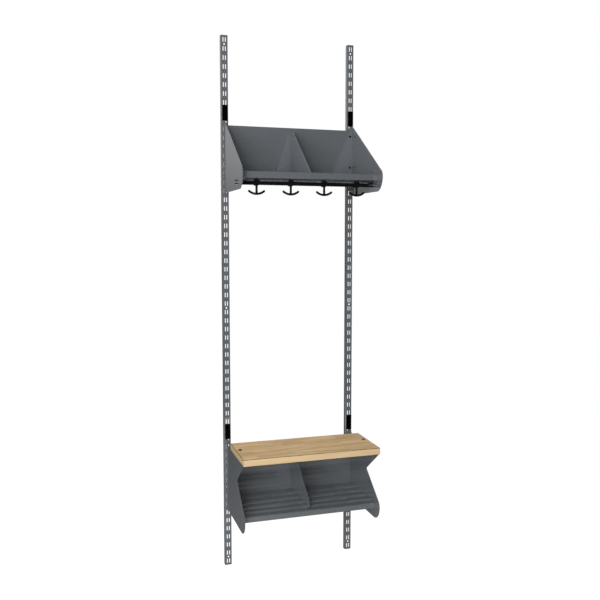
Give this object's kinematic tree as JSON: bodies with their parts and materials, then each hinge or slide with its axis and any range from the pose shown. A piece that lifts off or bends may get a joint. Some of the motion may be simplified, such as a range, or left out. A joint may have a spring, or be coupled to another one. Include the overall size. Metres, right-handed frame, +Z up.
{
  "type": "wall-hung hall unit",
  "caption": "Wall-hung hall unit on slotted steel uprights: a divided bin with sliding coat hooks above, a shoe bench with a ribbed tray and a wooden seat below.",
  "frame": {"origin": "centre of the pattern of the four outer wall-screw holes, level with the uprights' front faces, which are 15 mm in front of the wall", "axes": "+Z up along the uprights, +Y into the wall, +X along the wall to the right of someone who faces it"},
  "size_m": [0.5156, 0.3235, 1.984],
  "materials": {
    "grey_powder_coat": "fine satin grey powder coat on folded sheet steel",
    "black_enamel": "satin black enamel",
    "black_plastic": "moulded, matt black",
    "dark_steel": "blackened steel",
    "wood": "glued light hardwood staves, clear lacquer"
  },
  "bodies": {
    "frame": {"upright_left": "grey_powder_coat", "upright_right": "grey_powder_coat", "shelf_end_plate_left": "grey_powder_coat", "shelf_end_plate_right": "grey_powder_coat", "bench_end_plate_left": "grey_powder_coat", "bench_end_plate_right": "grey_powder_coat", "shelf_bin": "grey_powder_coat", "shelf_divider": "grey_powder_coat", "shoe_tray": "grey_powder_coat", "tray_divider": "grey_powder_coat", "hook_rail": "black_enamel", "bin_screws": "dark_steel", "seat_screws": "dark_steel", "seat_nuts": "dark_steel", "bench_seat": "wood"},
    "coat_hook_1": {"coat_hook_1": "black_enamel"},
    "coat_hook_2": {"coat_hook_2": "black_enamel"},
    "coat_hook_3": {"coat_hook_3": "black_enamel"},
    "coat_hook_4": {"coat_hook_4": "black_enamel"},
    "shelf_lock_clip_left": {"shelf_lock_clip_left": "black_plastic"},
    "shelf_lock_clip_right": {"shelf_lock_clip_right": "black_plastic"},
    "bench_lock_clip_left": {"bench_lock_clip_left": "black_plastic"},
    "bench_lock_clip_right": {"bench_lock_clip_right": "black_plastic"}
  },
  "joints": [
    {"name": "coat_hook_1_slide", "type": "slide", "parent": "frame", "child": "coat_hook_1", "axis": [1, 0, 0], "range_m": [-0.03, 0.03]},
    {"name": "coat_hook_2_slide", "type": "slide", "parent": "frame", "child": "coat_hook_2", "axis": [1, 0, 0], "range_m": [-0.03, 0.03]},
    {"name": "coat_hook_3_slide", "type": "slide", "parent": "frame", "child": "coat_hook_3", "axis": [1, 0, 0], "range_m": [-0.03, 0.03]},
    {"name": "coat_hook_4_slide", "type": "slide", "parent": "frame", "child": "coat_hook_4", "axis": [1, 0, 0], "range_m": [-0.03, 0.03]},
    {"name": "shelf_lock_clip_left_pull", "type": "slide", "parent": "frame", "child": "shelf_lock_clip_left", "axis": [0, -1, 0], "range_m": [0, 0.018]},
    {"name": "shelf_lock_clip_right_pull", "type": "slide", "parent": "frame", "child": "shelf_lock_clip_right", "axis": [0, -1, 0], "range_m": [0, 0.018]},
    {"name": "bench_lock_clip_left_pull", "type": "slide", "parent": "frame", "child": "bench_lock_clip_left", "axis": [0, -1, 0], "range_m": [0, 0.018]},
    {"name": "bench_lock_clip_right_pull", "type": "slide", "parent": "frame", "child": "bench_lock_clip_right", "axis": [0, -1, 0], "range_m": [0, 0.018]}
  ]
}
